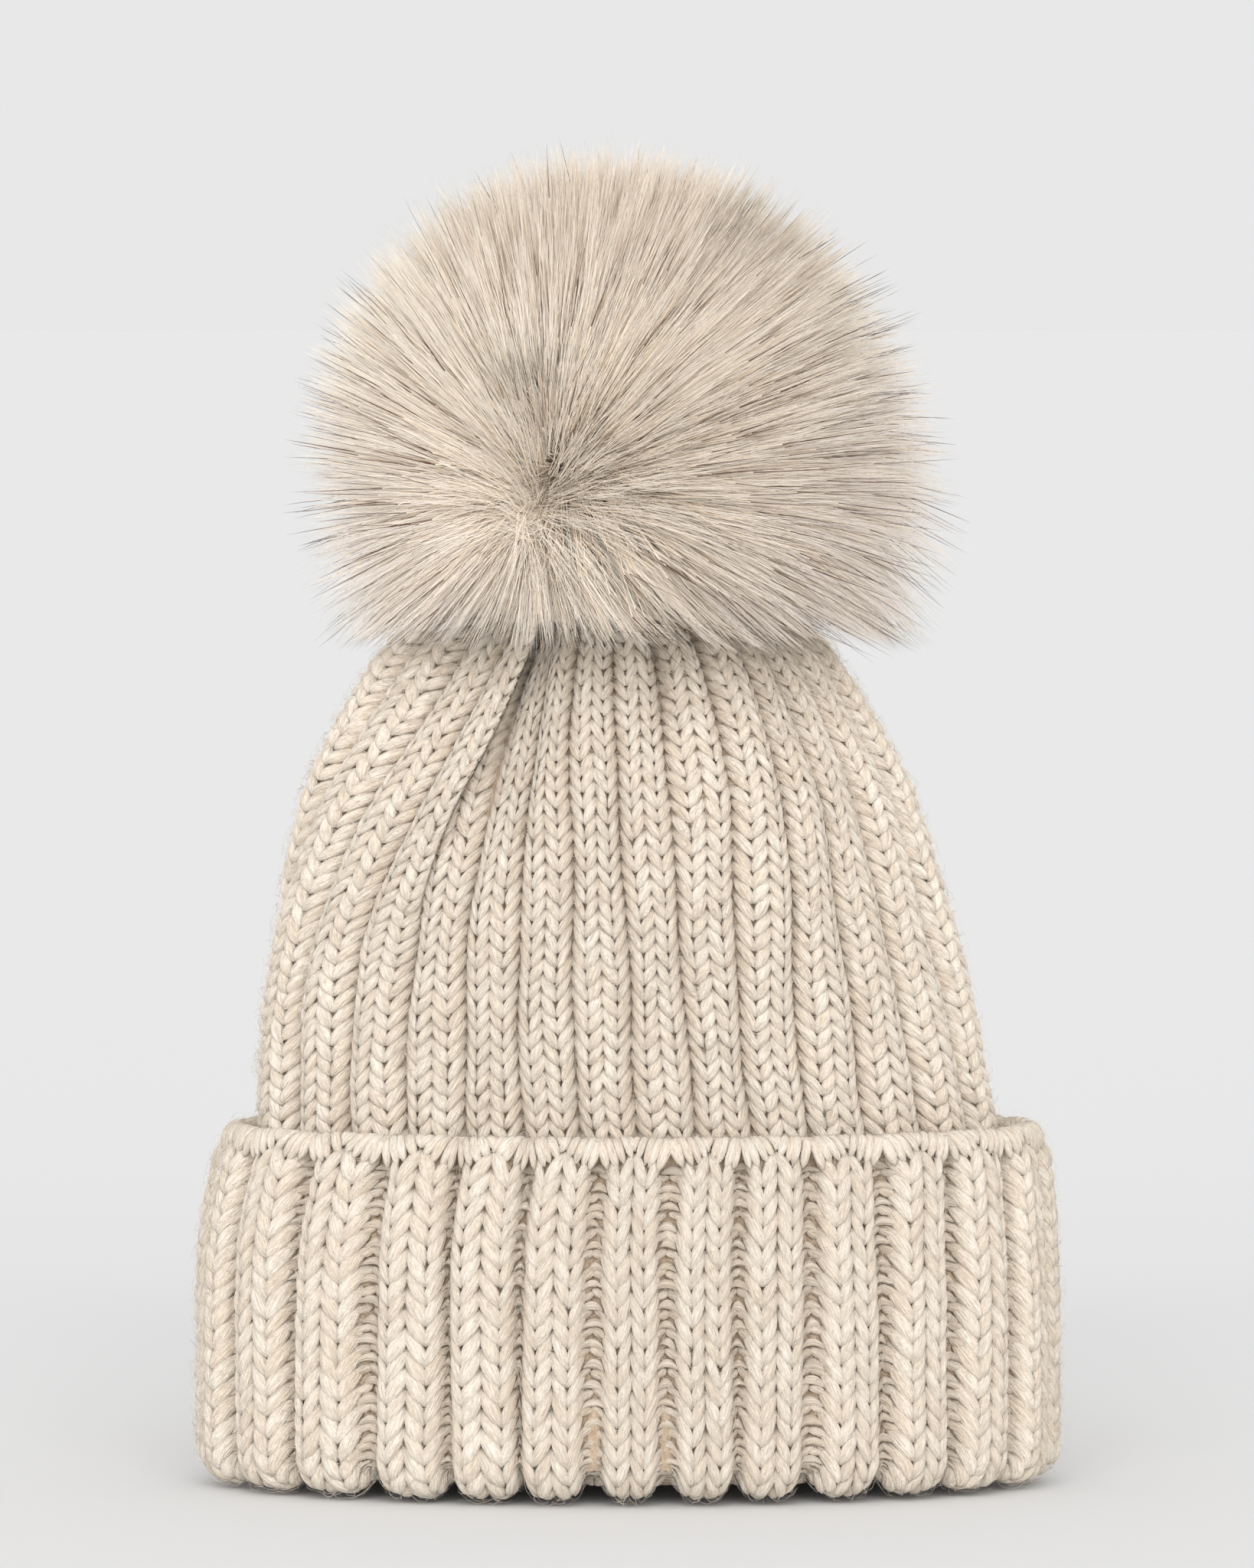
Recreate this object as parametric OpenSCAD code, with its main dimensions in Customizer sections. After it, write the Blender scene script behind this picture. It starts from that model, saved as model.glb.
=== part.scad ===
// Rib-knit beanie with a turned-up cuff and a press-stud faux-fur pom pom.
// Millimetres. The hat stands on its cuff: the origin is the centre of the cuff's lower face,
// +Z runs up through the pom pom and -Y is the front.

/* [Knit] */
// Number of knitted ribs round the hat, odd so that a valley lies at the centre back
rib_count = 29; // [21:2:33]
// How far a rib stands above the valley beside it on the crown
crown_rib_relief = 2.2; // [0.5:0.1:3]
// How far a rib stands above the valley beside it on the cuff
cuff_rib_relief = 3; // [0.5:0.1:4]
// Thickness of the crown's knit, ribs included
knit_thickness = 7; // [5:0.5:8]
// Diameter of the yarn used for the seams and drawn threads
yarn_diameter = 1.6; // [1:0.1:2.4]

/* [Cuff] */
// Half width of the cuff at its fold
cuff_half_width = 110; // [108:0.5:114]
// Half depth of the cuff at its fold
cuff_half_depth = 54; // [53:0.5:58]
// Height of the turned-up cuff
cuff_height = 91; // [80:1:100]
// How much the cuff narrows on each side towards its top
cuff_taper = 8; // [4:0.5:9]

/* [Crown] */
// Half width of the crown where it enters the cuff
crown_half_width = 93; // [90:0.5:94]
// Half depth of the crown where it enters the cuff
crown_half_depth = 40; // [35:0.5:40]
// Height of the gathered top of the crown
crown_top = 232; // [226:1:234]

/* [Pom pom] */
// Largest radius of the fur pile
fur_radius = 78; // [70:1:80]
// Height of the pom pom's top above the cuff's fold
fur_top = 334; // [320:1:340]
// Radius of the fibrefill ball
core_radius = 28; // [24:0.5:28]
// Thickness of the fabric that the pile grows from
backing_thickness = 1.5; // [1:0.1:1.8]

/* [Press stud] */
// Radius of the stud's and the socket's flanges
stud_flange_radius = 6.5; // [6:0.1:7.5]
// Radius of the stud's bulb
stud_bulb_radius = 3.6; // [3.2:0.1:3.8]
// Radius of the posts that rivet the stud and the socket in place
post_radius = 2; // [1.6:0.1:2.2]

/* [Label] */
// Width of the folded care label
label_width = 32; // [24:1:36]
// Height of the folded care label
label_height = 38; // [30:1:44]

/* [Hidden] */

// Colours
yarn_color = [0.90, 0.85, 0.77];
thread_color = [0.80, 0.73, 0.63];
fur_color = [0.86, 0.80, 0.73];
felt_color = [0.78, 0.72, 0.64];
metal_color = [0.72, 0.70, 0.66];
satin_color = [0.95, 0.93, 0.89];

// Fits
slide_gap = 0.7;        // between the crown and the cuff that slides over it
post_gap = 0.05;        // radial gap of a riveted post in its hole
body_gap = 0.4;         // between pieces of the hat and pieces of the pom pom
layer_gap = 0.1;        // between layers that are sewn or riveted together
layer_thickness = 1.2;  // felt disc
round_fn = 96;

// Heights up the axis, from the washer inside the crown to the pom pom's base disc
crown_inner_top = crown_top - 6;
washer_top = crown_inner_top - layer_gap;
washer_bottom = washer_top - 1.5;
stud_cap_top = washer_bottom - layer_gap;
stud_cap_bottom = stud_cap_top - 1;
stud_flange_bottom = crown_top + layer_gap;
stud_flange_top = stud_flange_bottom + 0.9;
stud_top = stud_flange_top + 2.4;
socket_bottom = stud_flange_top + body_gap;
socket_top = stud_top + 1.4;
disc_bottom = socket_top + layer_gap;
disc_top = disc_bottom + layer_thickness;
socket_cap_top = disc_top + layer_gap + 0.9;
pom_pivot = disc_top + 1;
core_centre = pom_pivot + core_radius + 4;
backing_inner = core_radius + 0.3;
backing_outer = backing_inner + backing_thickness;
pile_inner = backing_outer + 0.3;

// Points round a rib: two on its crest and two in the valley beside it
rib_points = 4;
around = rib_count * rib_points;

// The ribs are evenly spaced along the ellipse, not evenly in angle. The arc length is
// summed over small steps of angle in one quarter, and looked up again by length.
quarter_steps = 45;
step_angle = 90 / quarter_steps;
function step_length(i, a, b) =
    let (t = (i + 0.5) * step_angle)
    sqrt(pow(a * cos(t), 2) + pow(b * sin(t), 2)) * step_angle * PI / 180;
function arc_table(a, b, i = 0, total = 0) =
    i > quarter_steps
        ? []
        : concat([total], arc_table(a, b, i + 1, total + step_length(i, a, b)));
quarter_arc = arc_table(cuff_half_width, cuff_half_depth);
function quarter_angle(share) =
    lookup(share * quarter_arc[quarter_steps],
           [for (i = [0:quarter_steps]) [quarter_arc[i], i * step_angle]]);
// Angle from the front for a share of the whole way round, by symmetry of the quarters
function way_angle(share) =
    let (q = floor(share * 4), f = share * 4 - q)
    q == 0 ? quarter_angle(f)
    : q == 1 ? 180 - quarter_angle(1 - f)
    : q == 2 ? 180 + quarter_angle(f)
    : 360 - quarter_angle(1 - f);
way_angles = [for (i = [0:around - 1]) way_angle((i + 0.5) / around)];
// 1 on a rib's crest and 0 in a valley
function on_crest(i) = (i % rib_points == 0 || i % rib_points == 3) ? 1 : 0;

// One ring of knit: [height, half width, half depth, relief]
function knit_ring(r) = [
    for (i = [0:around - 1])
        let (t = way_angles[i], low = (1 - on_crest(i)) * r[3])
        [(r[1] - low) * sin(t), -(r[2] - low) * cos(t), r[0]]
];

// A closed wall swept through rings that run up its outside and down its inside
module knit_wall(rings) {
    n = len(rings);
    points = [for (r = rings) for (p = knit_ring(r)) p];
    faces = [
        for (k = [0:n - 1])
            for (i = [0:around - 1])
                let (
                    a = k * around + i,
                    b = k * around + (i + 1) % around,
                    c = ((k + 1) % n) * around + (i + 1) % around,
                    d = ((k + 1) % n) * around + i
                )
                [a, d, c, b]
    ];
    polyhedron(points = points, faces = faces, convexity = 10);
}

// Crown: share of the height above the cuff, share of the half width, share of the half depth.
// It fills out in depth above the cuff and then draws in to the gather.
crown_shape = [
    [0, 1, 1], [0.22, 0.96, 1.12], [0.42, 0.89, 1.19], [0.6, 0.815, 1.15],
    [0.74, 0.73, 1.04], [0.84, 0.65, 0.91], [0.92, 0.53, 0.75], [0.975, 0.36, 0.53]
];
crown_foot = 3;
stud_seat = 9;
crown_hole = post_radius + 0.6;
inner_half_width = crown_half_width - knit_thickness;
inner_half_depth = crown_half_depth - knit_thickness;

function crown_outer_ring(s) = [
    cuff_height + s[0] * (crown_top - cuff_height),
    s[1] * crown_half_width,
    s[2] * crown_half_depth,
    crown_rib_relief
];
function crown_inner_ring(s) =
    let (
        outer = crown_outer_ring(s),
        slope = s[0] * s[0] * 5
    )
    [outer[0] - slope, outer[1] - knit_thickness - slope / 2, outer[2] - knit_thickness - slope / 2, 0];

module body_knit() {
    color(yarn_color)
        knit_wall(concat(
            [[crown_foot, crown_half_width, crown_half_depth, crown_rib_relief]],
            [for (s = crown_shape) crown_outer_ring(s)],
            [[crown_top, stud_seat, stud_seat, 0]],
            [[crown_top, crown_hole, crown_hole, 0]],
            [[crown_inner_top, crown_hole, crown_hole, 0]],
            [[crown_inner_top, stud_seat + 5, stud_seat + 4.5, 0]],
            [for (k = [6:-2:0]) crown_inner_ring(crown_shape[k])],
            [[crown_foot, inner_half_width, inner_half_depth, 0]]
        ));
}

// Cuff: upright in its lower half, drawing in towards its top. Its fold and top edge are rounded.
cuff_bore_width = crown_half_width + slide_gap;
cuff_bore_depth = crown_half_depth + slide_gap;
function cuff_draw_in(z) = cuff_taper * pow(max(0, 2 * z / cuff_height - 1), 2);
function cuff_outer_ring(z, inset) = [
    z,
    cuff_half_width - cuff_draw_in(z) - inset,
    cuff_half_depth - cuff_draw_in(z) * 0.6 - inset,
    cuff_rib_relief
];

module cuff_knit() {
    color(yarn_color)
        knit_wall([
            cuff_outer_ring(0, 5),
            cuff_outer_ring(2, 1.4),
            cuff_outer_ring(7, 0),
            cuff_outer_ring(cuff_height * 0.5, 0),
            cuff_outer_ring(cuff_height * 0.75, 0),
            cuff_outer_ring(cuff_height - 4, 0),
            cuff_outer_ring(cuff_height - 1, 1),
            [cuff_height, cuff_bore_width + 4, cuff_bore_depth + 4, 0],
            [cuff_height, cuff_bore_width + 2, cuff_bore_depth + 2, 0],
            [cuff_height - 2.5, cuff_bore_width, cuff_bore_depth, 0],
            [4, cuff_bore_width, cuff_bore_depth, 0],
            [0, cuff_bore_width + 3, cuff_bore_depth + 3, 0]
        ]);
}

// A thread that runs straight from point to point
module thread(route, radius) {
    for (k = [0:len(route) - 2])
        hull() {
            translate(route[k]) sphere(r = radius, $fn = 8);
            translate(route[k + 1]) sphere(r = radius, $fn = 8);
        }
}

// The seams lie at the centre back, just inside the wall that they close
seam_radius = yarn_diameter / 2;
module body_seam_thread() {
    color(thread_color)
        thread([
            for (k = [0:2:6])
                let (r = crown_inner_ring(crown_shape[k]))
                [0, r[2] - seam_radius - 0.5, r[0]],
        ], seam_radius);
}

// The cuff's seam lies in the valley at the centre back
function cuff_seam_point(z) =
    let (valley = cuff_half_depth - cuff_draw_in(z) * 0.6 - cuff_rib_relief)
    [0, valley + seam_radius + 0.2, z];
module cuff_seam_thread() {
    color(thread_color)
        thread([
            for (level = [cuff_height * 0.1, cuff_height * 0.5, cuff_height * 0.75, cuff_height - 5])
                cuff_seam_point(level)
        ], seam_radius);
}

// Drawn thread that gathers the crown, lying in a ring under the washer's edge
gather_ring = stud_flange_radius + 3;
gather_height = washer_bottom - seam_radius - layer_gap;
module crown_gather_thread() {
    color(thread_color)
        translate([0, 0, gather_height])
            rotate_extrude($fn = round_fn)
                translate([gather_ring, 0])
                    circle(r = seam_radius, $fn = 24);
}

// Knot that ties off the drawn thread, hanging just under it
module crown_knot() {
    knot_radius = seam_radius * 1.6;
    color(thread_color)
        translate([gather_ring, 0, gather_height - seam_radius - knot_radius - 0.05])
            sphere(r = knot_radius, $fn = 32);
}

module crown_washer() {
    color(felt_color)
        translate([0, 0, washer_bottom])
            ring(washer_top - washer_bottom, stud_seat + 3, post_radius + post_gap);
}

// A flat ring with a round hole
module ring(height, outer, inner) {
    difference() {
        cylinder(h = height, r = outer, $fn = round_fn);
        translate([0, 0, -1])
            cylinder(h = height + 2, r = inner, $fn = round_fn);
    }
}

// Male half: a flange on the knit, a waist and a bulb, bored for the post
module snap_stud() {
    color(metal_color)
        rotate_extrude($fn = round_fn)
            polygon([
                [post_radius + post_gap, stud_flange_bottom],
                [stud_flange_radius, stud_flange_bottom],
                [stud_flange_radius, stud_flange_top - 0.2],
                [stud_flange_radius - 0.2, stud_flange_top],
                [stud_bulb_radius - 0.5, stud_flange_top],
                [stud_bulb_radius - 0.5, stud_flange_top + 0.8],
                [stud_bulb_radius, stud_flange_top + 1.3],
                [stud_bulb_radius, stud_flange_top + 1.8],
                [stud_bulb_radius - 0.5, stud_top],
                [post_radius + post_gap, stud_top]
            ]);
}

// A rivet: a thin domed head with a post, from the head's face to the post's tip
module rivet(head_radius, head_low, head_high, tip) {
    low = min(head_low, tip);
    high = max(head_high, tip);
    union() {
        translate([0, 0, head_low])
            cylinder(h = head_high - head_low, r = head_radius, $fn = round_fn);
        translate([0, 0, low])
            cylinder(h = high - low, r = post_radius, $fn = round_fn);
    }
}

module stud_cap() {
    color(metal_color)
        rivet(stud_flange_radius, stud_cap_bottom, stud_cap_top, stud_top - 0.2);
}

// Female half: a cup with a groove for its ring spring and a hole for the cap's post
spring_radius = 0.35;
spring_ring = stud_bulb_radius + spring_radius + 0.3;
spring_height = stud_flange_top + 1.3;
module snap_socket() {
    mouth = stud_bulb_radius + 0.35;
    groove = spring_ring + spring_radius + 0.15;
    color(metal_color)
        rotate_extrude($fn = round_fn)
            polygon([
                [mouth, socket_bottom],
                [stud_flange_radius - 0.3, socket_bottom],
                [stud_flange_radius, socket_bottom + 0.3],
                [stud_flange_radius, socket_top],
                [post_radius + post_gap, socket_top],
                [post_radius + post_gap, stud_top + 0.4],
                [mouth, stud_top + 0.4],
                [mouth, spring_height + 0.5],
                [groove, spring_height + 0.5],
                [groove, spring_height - 0.5],
                [mouth, spring_height - 0.5]
            ]);
}

// An open ring of wire
module socket_spring() {
    color(metal_color)
        translate([0, 0, spring_height])
            rotate([0, 0, 20])
                rotate_extrude(angle = 320, $fn = round_fn)
                    translate([spring_ring, 0])
                        circle(r = spring_radius, $fn = 24);
}

module socket_cap() {
    color(metal_color)
        rivet(stud_flange_radius, disc_top + layer_gap, socket_cap_top, stud_top + 0.6);
}

base_radius = 15;
stitch_ring = base_radius - 3;
stitch_count = 16;
module pom_base_disc() {
    color(felt_color)
        difference() {
            translate([0, 0, disc_bottom])
                ring(layer_thickness, base_radius, post_radius + post_gap);
            for (k = [0:stitch_count - 1])
                rotate([0, 0, k * 360 / stitch_count])
                    translate([stitch_ring, 0, disc_bottom - 1])
                        cylinder(h = layer_thickness + 2, r = stitch_radius + post_gap, $fn = 24);
        }
}

// Stitches that stand through the disc in a ring near its rim
stitch_radius = 0.5;
module pom_base_stitches() {
    color(thread_color)
        for (k = [0:stitch_count - 1])
            rotate([0, 0, k * 360 / stitch_count])
                translate([stitch_ring, 0, disc_bottom - 0.3])
                    cylinder(h = layer_thickness + 0.6, r = stitch_radius, $fn = 24);
}

// Fabric shell of the pom pom, open round its gathered neck
neck_radius = 9;
module pom_backing() {
    color(felt_color)
        translate([0, 0, core_centre])
            difference() {
                sphere(r = backing_outer, $fn = round_fn);
                sphere(r = backing_inner, $fn = round_fn);
                translate([0, 0, -backing_outer - 1])
                    cylinder(h = backing_outer, r = neck_radius, $fn = round_fn);
            }
}

// Fibrefill ball
module pom_core() {
    color(satin_color)
        translate([0, 0, core_centre])
            sphere(r = core_radius, $fn = round_fn);
}

module pom_gather_thread() {
    ring_radius = neck_radius - seam_radius - 0.2;
    drop = sqrt(pow(core_radius, 2) - pow(ring_radius, 2)) + seam_radius + 0.5;
    color(thread_color)
        translate([0, 0, core_centre - drop])
            rotate_extrude($fn = round_fn)
                translate([ring_radius, 0])
                    circle(r = seam_radius * 0.6, $fn = 24);
}

// Pile: the outer shape of the fur. Above its widest level it is a rounded dome, and below
// it draws in a little to its lower edge.
pile_widest = 250;
pile_power = 2.1;
pile_edge_drop = 31;
pile_drop_reach = 75;
function pile_arc(reach, height) = pow(1 - pow(height / reach, pile_power), 1 / pile_power);
pile_dome = [
    for (u = [0:6:90])
        [fur_radius * pile_arc(1, cos(u)), pile_widest + (fur_top - pile_widest) * cos(u)]
];
pile_skirt = [
    for (drop = [8:7.5:pile_edge_drop])
        [fur_radius * pile_arc(pile_drop_reach, drop), pile_widest - drop]
];
// The underside, as radii and heights above the pivot. It stays clear of the crown while the
// pom pom turns and nods.
pile_underside = [[70, -19.4], [66, -14], [58, -8], [45, -4.2], [30, -1.4], [18, 2]];
module fur_pile() {
    color(fur_color)
        difference() {
            rotate_extrude($fn = round_fn)
                polygon(concat(
                    pile_dome,
                    pile_skirt,
                    [for (p = pile_underside) [p[0], pom_pivot + p[1]]],
                    [[neck_radius + 4, pom_pivot + 5], [0, pom_pivot + 5]]
                ));
            translate([0, 0, core_centre])
                sphere(r = pile_inner, $fn = round_fn);
        }
}

// Care label: a folded strip of satin that hangs from the back seam inside the hat
label_thickness = 0.3;
label_top = 150;
label_depth = 1.6;
label_y = crown_half_depth * 1.08 - knit_thickness - 3;
module care_label() {
    color(satin_color)
        translate([-label_width / 2, label_y - label_depth, label_top - label_height])
            difference() {
                cube([label_width, label_depth, label_height]);
                translate([-1, label_thickness, label_thickness])
                    cube([label_width + 2, label_depth - 2 * label_thickness, label_height]);
            }
}

// A row of short running stitches along the label's top edge
label_stitch_count = 5;
label_stitch_radius = 0.4;
module label_stitches() {
    pitch = (label_width - 6) / (label_stitch_count - 1);
    color(thread_color)
        for (k = [0:label_stitch_count - 1])
            translate([
                (k - (label_stitch_count - 1) / 2) * pitch,
                label_y + label_stitch_radius + 0.05,
                label_top - 3
            ])
                rotate([0, 90, 0])
                    cylinder(h = 3, r = label_stitch_radius, center = true, $fn = 24);
}

body_knit();
cuff_knit();
body_seam_thread();
cuff_seam_thread();
crown_gather_thread();
crown_knot();
crown_washer();
snap_stud();
stud_cap();
care_label();
label_stitches();
snap_socket();
socket_spring();
socket_cap();
pom_base_disc();
pom_base_stitches();
pom_gather_thread();
pom_backing();
pom_core();
fur_pile();
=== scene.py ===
"""The looks of a rib-knit beanie with a turned-up cuff and a faux-fur pom pom.

Lengths are in millimetres up to the moment a mesh is made, and the front of the hat is at -Y.
The knit is built yarn by yarn: each leg of each stitch is a small tapered tube laid on a wall.
The fur is built strand by strand: each hair is a thin closed tube, combed away from a whorl.
"""

import math

import bpy
import numpy as np
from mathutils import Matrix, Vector


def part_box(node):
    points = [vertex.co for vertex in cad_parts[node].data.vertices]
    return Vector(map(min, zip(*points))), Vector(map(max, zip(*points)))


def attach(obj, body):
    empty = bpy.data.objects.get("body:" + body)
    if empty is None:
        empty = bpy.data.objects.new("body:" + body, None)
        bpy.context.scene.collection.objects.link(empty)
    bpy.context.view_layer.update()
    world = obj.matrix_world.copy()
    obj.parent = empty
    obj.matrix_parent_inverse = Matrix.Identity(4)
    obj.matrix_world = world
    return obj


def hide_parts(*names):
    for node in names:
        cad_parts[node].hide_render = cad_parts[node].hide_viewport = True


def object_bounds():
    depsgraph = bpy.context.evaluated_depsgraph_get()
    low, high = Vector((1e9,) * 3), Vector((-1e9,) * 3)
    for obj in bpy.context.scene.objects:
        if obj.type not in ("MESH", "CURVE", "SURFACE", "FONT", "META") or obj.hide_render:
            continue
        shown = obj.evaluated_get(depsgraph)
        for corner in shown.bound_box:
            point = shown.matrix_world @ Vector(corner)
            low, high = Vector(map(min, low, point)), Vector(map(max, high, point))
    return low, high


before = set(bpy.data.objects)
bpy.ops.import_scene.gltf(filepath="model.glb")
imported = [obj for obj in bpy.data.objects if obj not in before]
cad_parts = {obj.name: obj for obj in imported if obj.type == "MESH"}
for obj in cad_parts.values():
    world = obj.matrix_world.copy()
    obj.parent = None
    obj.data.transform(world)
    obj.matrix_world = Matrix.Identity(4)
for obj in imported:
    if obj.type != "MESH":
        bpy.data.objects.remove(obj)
cad_low, cad_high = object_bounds()

MM = 0.001
TAU = 2 * math.pi
random = np.random.default_rng(11)


def node_size(name):
    """Lowest and highest corner of a CAD node, in millimetres."""
    low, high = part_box(name)
    return np.array(low) / MM, np.array(high) / MM


body_low, body_high = node_size("body_knit")
_, cuff_high = node_size("cuff_knit")
_, fur_high = node_size("fur_pile")
core_low, core_high = node_size("pom_core")

CROWN_TOP = body_high[2]
CROWN_HALF_WIDTH = 93.0
CROWN_HALF_DEPTH = 40.0
CUFF_TOP = cuff_high[2]
CUFF_HALF_WIDTH = cuff_high[0]
CUFF_HALF_DEPTH = 54.0
YARN_PROUD = 2.4


# ---------------------------------------------------------------- meshes


def mesh_piece(name, points, faces, body, materials, shades=None):
    """A smooth mesh from points in millimetres and a list of face arrays, riding on a body."""
    mesh = bpy.data.meshes.new(name)
    corners = np.concatenate([f.ravel() for f in faces])
    sizes = np.concatenate([np.full(len(f), f.shape[1]) for f in faces])
    mesh.vertices.add(len(points))
    mesh.vertices.foreach_set("co", (points * MM).astype(np.float32).ravel())
    mesh.loops.add(len(corners))
    mesh.loops.foreach_set("vertex_index", corners.astype(np.int32))
    mesh.polygons.add(len(sizes))
    starts = np.concatenate([[0], np.cumsum(sizes)[:-1]])
    mesh.polygons.foreach_set("loop_start", starts.astype(np.int32))
    for material in materials:
        mesh.materials.append(material)
    if shades is not None:
        mesh.polygons.foreach_set("material_index", shades.astype(np.int32))
    mesh.polygons.foreach_set("use_smooth", np.ones(len(sizes), bool))
    mesh.update(calc_edges=True)
    piece = bpy.data.objects.new(name, mesh)
    bpy.context.scene.collection.objects.link(piece)
    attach(piece, body)
    return piece


def set_vector_attribute(piece, name, values):
    attribute = piece.data.attributes.new(name, "FLOAT_VECTOR", "POINT")
    attribute.data.foreach_set("vector", values.astype(np.float32).ravel())


def tube_faces(rings, sides):
    """Faces of one closed tube: rings of points one after another, then the two tip points."""
    i, j = np.meshgrid(np.arange(rings - 1), np.arange(sides), indexing="ij")
    a, b = i * sides + j, i * sides + (j + 1) % sides
    quads = np.stack([a, b, b + sides, a + sides], -1).reshape(-1, 4)
    j = np.arange(sides)
    first, last = rings * sides, rings * sides + 1
    end = (rings - 1) * sides
    low = np.stack([np.full(sides, first), (j + 1) % sides, j], -1)
    high = np.stack([end + j, end + (j + 1) % sides, np.full(sides, last)], -1)
    return quads, np.concatenate([low, high])


def repeated(faces, count, points_each):
    """The same faces for each of many equal tubes."""
    steps = np.arange(count)[:, None, None] * points_each
    return (faces[None] + steps).reshape(-1, faces.shape[1])


def build_tubes(name, points, rings, sides, body, materials, shade=None, extra=None):
    """Many equal tubes as one piece.

    points is (tubes, rings * sides + 2, 3), and shade holds a material index for each stretch
    between two rings of each tube.
    """
    count = len(points)
    quads, tips = tube_faces(rings, sides)
    faces = [repeated(quads, count, points.shape[1]), repeated(tips, count, points.shape[1])]
    shades = None
    if shade is not None:
        along = np.repeat(np.arange(rings - 1), sides)
        ends = np.concatenate([np.zeros(sides, int), np.full(sides, rings - 2)])
        shades = np.concatenate([shade[:, along].ravel(), shade[:, ends].ravel()])
    piece = mesh_piece(name, points.reshape(-1, 3), faces, body, materials, shades)
    if extra is not None:
        set_vector_attribute(piece, "yarn", extra.reshape(-1, 3))
    return piece


def grid_faces(rows, columns, closed_rows=False):
    """Quads of a sheet whose columns close into rings."""
    last = rows if closed_rows else rows - 1
    i, j = np.meshgrid(np.arange(last), np.arange(columns), indexing="ij")
    k = (i + 1) % rows
    a, b = i * columns + j, i * columns + (j + 1) % columns
    c, d = k * columns + (j + 1) % columns, k * columns + j
    return np.stack([a, b, c, d], -1).reshape(-1, 4)


# ---------------------------------------------------------------- knit walls


def smoothstep(low, high, x):
    t = np.clip((x - low) / (high - low), 0, 1)
    return t * t * (3 - 2 * t)


def hump(x, centre, width):
    return np.exp(-(((x - centre) / width) ** 2))


class KnitWall:
    """A ribbed wall. A place on it is c, in ribs from the front, and v, along its outline.

    The outline is a list of (height, half width, half depth). spread and offset say how the ribs
    lie round the wall, and relief, rib_width and rib_power give a rib's cross-section.
    """

    ribs = 28

    def __init__(self, outline, softness, spread, offset, relief, rib_width, rib_power):
        outline = np.array(outline, float)
        steps = np.diff(outline, axis=0)
        lengths = np.sqrt(steps[:, 0] ** 2 + (steps[:, 1] ** 2 + steps[:, 2] ** 2) / 2)
        known = np.concatenate([[0], np.cumsum(lengths)])
        self.length = known[-1]
        self.v = np.linspace(0, self.length, 900)
        dense = [np.interp(self.v, known, outline[:, k]) for k in range(3)]
        self.z, self.a, self.b = [self.smoothed(d, softness) for d in dense]
        self.relief = relief
        self.rib_width, self.rib_power = rib_width, rib_power
        self.rib_table(spread, offset)

    def smoothed(self, values, softness):
        step = self.v[1]
        reach = int(3 * softness / step) + 1
        x = np.arange(-reach, reach + 1) * step
        kernel = np.exp(-((x / softness) ** 2) / 2)
        kernel /= kernel.sum()
        start = 2 * values[0] - values[reach:0:-1]
        end = 2 * values[-1] - values[-2 : -reach - 2 : -1]
        return np.convolve(np.concatenate([start, values, end]), kernel, "valid")

    def rib_table(self, spread, offset):
        """Angle of each place round the wall, with the ribs a little closer towards the sides."""
        t = np.linspace(0, math.pi / 2, 181)
        even, sine, third = spread
        quarter = sine * np.sin(t) + even * t + third * np.sin(3 * t)
        quarter *= self.ribs / 4 / quarter[-1]
        half_t = np.concatenate([t, math.pi - t[-2::-1]])
        half_c = np.concatenate([quarter, self.ribs / 2 - quarter[-2::-1]])
        whole_t = np.concatenate([-half_t[:0:-1], half_t])
        whole_c = np.concatenate([-half_c[:0:-1], half_c])
        whole_c = whole_c + offset + (0.5 - offset) * np.sin(whole_t / 2) ** 2
        self.t_table = np.concatenate([whole_t[:-1] + TAU * k for k in (-1, 0, 1)])
        self.c_table = np.concatenate([whole_c[:-1] + self.ribs * k for k in (-1, 0, 1)])

    def height(self, v):
        return np.interp(v, self.v, self.z)

    def pitch(self, v):
        """Width of a front rib, in millimetres."""
        half_width = np.interp(v, self.v, self.a)
        return half_width / np.interp(0, self.v, self.a) * self.front_pitch

    def slide(self, c, z):
        return np.zeros_like(c)

    def sink(self, c, z):
        return np.zeros_like(c)

    def lean(self, z):
        return np.zeros_like(z)

    def row_rise(self, c, z):
        return np.zeros_like(c)

    def base(self, c, v):
        v = v + self.row_rise(c, self.height(v))
        z = self.height(v)
        t = np.interp(c + self.slide(c, z), self.c_table, self.t_table)
        x = np.interp(v, self.v, self.a) * np.sin(t) + self.lean(z)
        y = -np.interp(v, self.v, self.b) * np.cos(t)
        return np.stack([x, y, z], -1)

    def rib_drop(self, c):
        """How far the wall lies below a rib's crest, 0 on the crest."""
        w = np.abs(c - np.round(c)) / self.rib_width
        return self.relief * np.minimum(w, 1) ** self.rib_power

    def point(self, c, v, lift):
        """A point lift above the ribbed wall, along the wall's normal."""
        dc, dv = 0.02, 0.4
        p = self.base(c, v)
        across = self.base(c + dc, v) - self.base(c - dc, v)
        along = self.base(c, v + dv) - self.base(c, v - dv)
        normal = np.cross(across, along) * self.side
        normal /= np.linalg.norm(normal, axis=-1, keepdims=True) + 1e-9
        normal = self.facing_out(p, normal)
        drop = self.rib_drop(c) * self.fullness(c, v) * self.ribbing(v)
        drop = drop + self.sink(c, self.height(v))
        return p + normal * (lift - drop)[..., None]

    def facing_out(self, p, normal):
        return normal

    def ribbing(self, v):
        """How deep the valleys are along the outline, from 0 to 1."""
        return np.ones_like(v)

    def fullness(self, c, v):
        """1 where the yarn lies open, less where the ribs are squeezed together."""
        z = self.height(v)
        squeeze = 1 + (self.slide(c + 0.1, z) - self.slide(c - 0.1, z)) / 0.2
        return np.clip(self.pitch(v) / self.front_pitch * squeeze * 1.5, 0.3, 1)


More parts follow.
